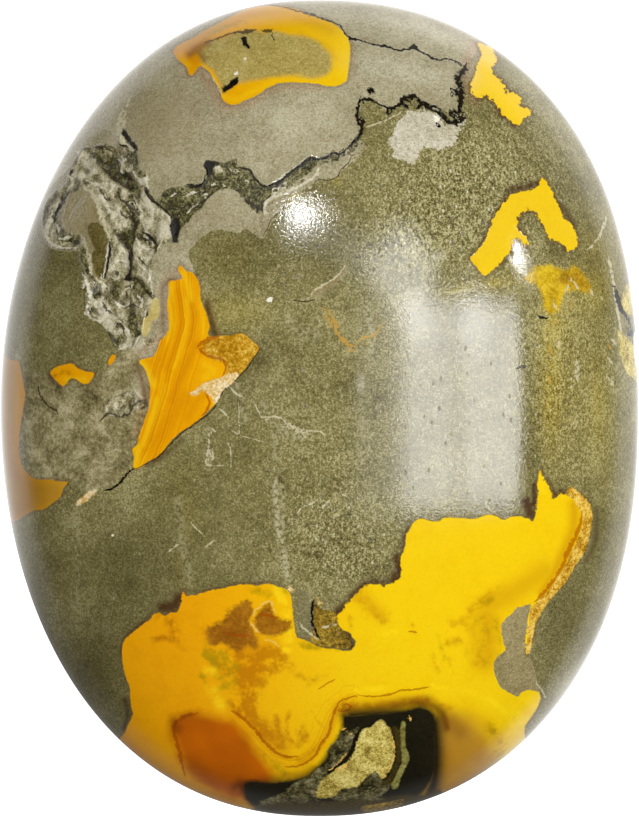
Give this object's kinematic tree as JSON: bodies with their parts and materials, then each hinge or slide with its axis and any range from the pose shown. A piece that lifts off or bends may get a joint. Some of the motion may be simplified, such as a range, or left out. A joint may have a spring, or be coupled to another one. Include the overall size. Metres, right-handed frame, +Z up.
{
  "type": "palm stone",
  "caption": "Oval polished palm stone of olive and yellow banded jasper: a smooth low dome with a weathered pocket, a dark crack and a small flat spot to rest on.",
  "frame": {"origin": "middle of the flat spot on the underside, where the stone rests on the table", "axes": "+X to the right across the stone, +Y along its length, +Z up through the domed face"},
  "size_m": [0.05, 0.064, 0.024],
  "materials": {
    "jasper": "polished, with dull weathered pits"
  },
  "bodies": {
    "root": {"palm_stone": "jasper"}
  },
  "joints": []
}
